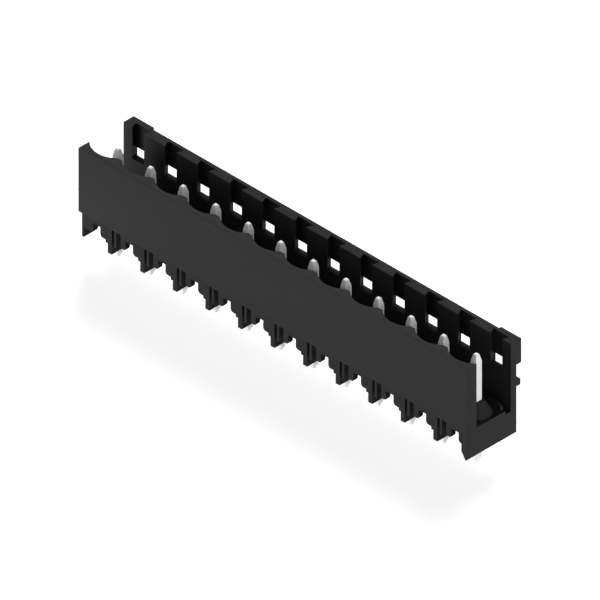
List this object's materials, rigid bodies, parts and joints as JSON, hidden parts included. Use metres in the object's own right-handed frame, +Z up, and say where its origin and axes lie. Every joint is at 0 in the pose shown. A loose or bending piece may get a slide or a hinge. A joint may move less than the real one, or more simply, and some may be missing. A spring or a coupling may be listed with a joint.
{
  "type": "circuit board connector",
  "caption": "Straight board header: an open-ended moulded channel with a scalloped front wall, a grooved and windowed back wall, and a row of square contact pins with solder tails.",
  "frame": {"origin": "on the board's top face, which is the plane of the housing's feet, at the middle of the pin row", "axes": "+X along the pin row, +Y from the plain front wall to the grooved back wall, +Z up off the board"},
  "size_m": [0.0596, 0.0085, 0.0152],
  "materials": {
    "housing_plastic": "black moulded thermoplastic with a fine matte texture",
    "tinned_contact": "copper alloy with bright tin plating"
  },
  "bodies": {
    "root": {"housing": "housing_plastic", "pin_01": "tinned_contact", "pin_02": "tinned_contact", "pin_03": "tinned_contact", "pin_04": "tinned_contact", "pin_05": "tinned_contact", "pin_06": "tinned_contact", "pin_07": "tinned_contact", "pin_08": "tinned_contact", "pin_09": "tinned_contact", "pin_10": "tinned_contact", "pin_11": "tinned_contact", "pin_12": "tinned_contact"}
  },
  "joints": []
}
